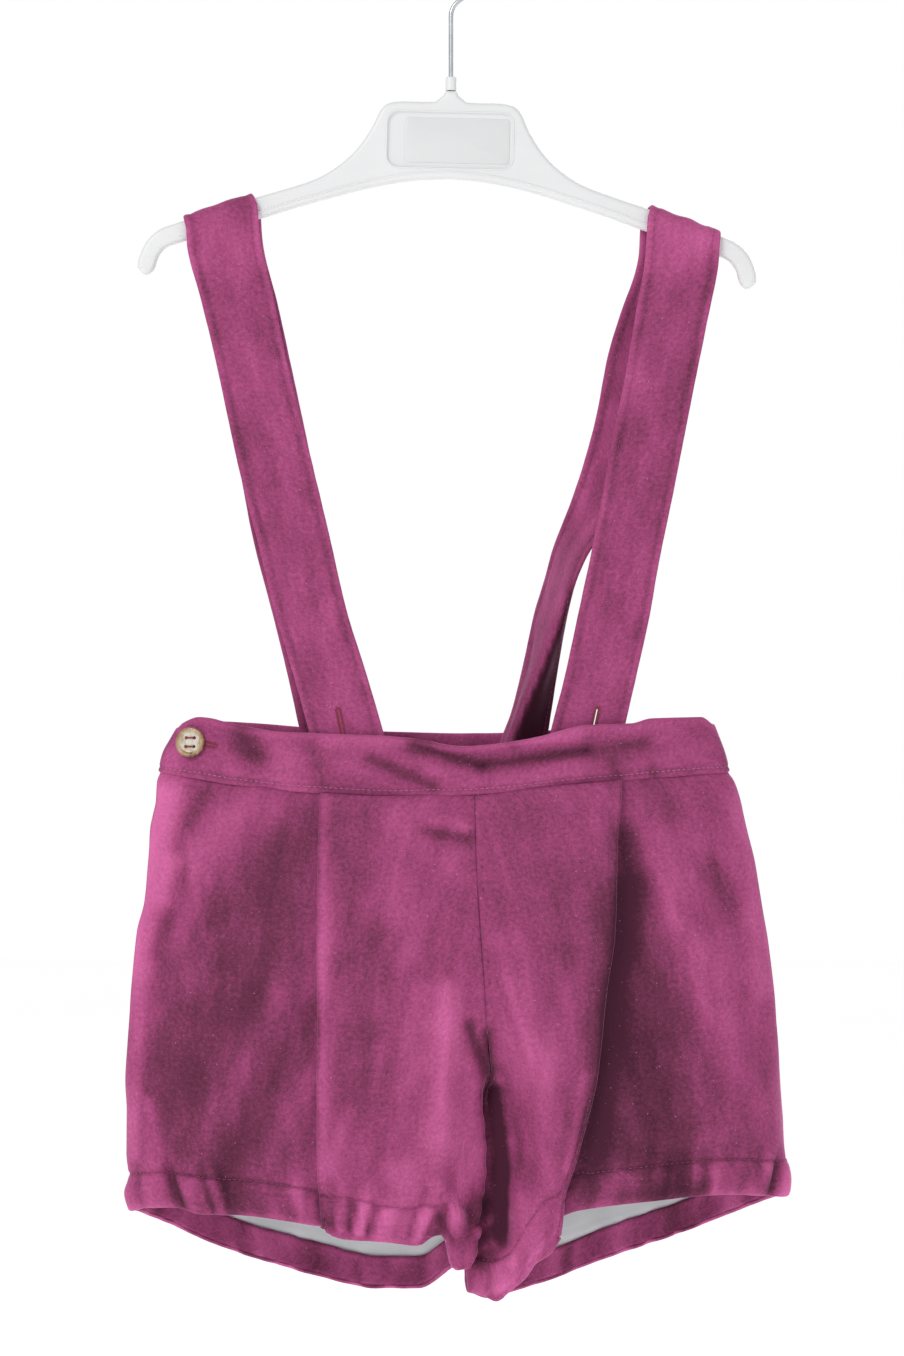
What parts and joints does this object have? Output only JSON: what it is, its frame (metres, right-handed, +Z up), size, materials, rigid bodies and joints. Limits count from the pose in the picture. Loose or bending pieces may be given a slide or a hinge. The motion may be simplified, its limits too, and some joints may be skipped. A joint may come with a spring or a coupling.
{
  "type": "velvet shorts with braces on a child's hanger",
  "caption": "Child's velvet shorts with pleated fronts, a buttoned waistband and buttonholed braces, hanging on a plastic hanger with a wire hook.",
  "frame": {"origin": "inside top of the wire hook, where it rests on a rail", "axes": "+Z up, +X to the viewer's right along the hanger, -Y towards the viewer of the shorts' front"},
  "size_m": [0.3204, 0.0664, 0.6728],
  "materials": {
    "velvet": "raspberry velvet, short pile",
    "lining": "pale plain lining",
    "horn_button": "polished, imitation horn",
    "plain_button": "polished",
    "hanger_plastic": "moulded, slightly cloudy white",
    "hook_wire": "drawn wire"
  },
  "bodies": {
    "root": {"front_left": "velvet", "front_right": "velvet", "back_left": "velvet", "back_right": "velvet", "hem_left": "velvet", "hem_right": "velvet", "lining_left": "lining", "lining_right": "lining", "waistband_front": "velvet", "waistband_back": "velvet", "strap_left": "velvet", "strap_right": "velvet", "side_button": "horn_button", "strap_button_left": "plain_button", "strap_button_right": "plain_button", "hanger_body": "hanger_plastic", "hanger_collar": "hanger_plastic", "hanger_hook": "hook_wire"}
  },
  "joints": []
}
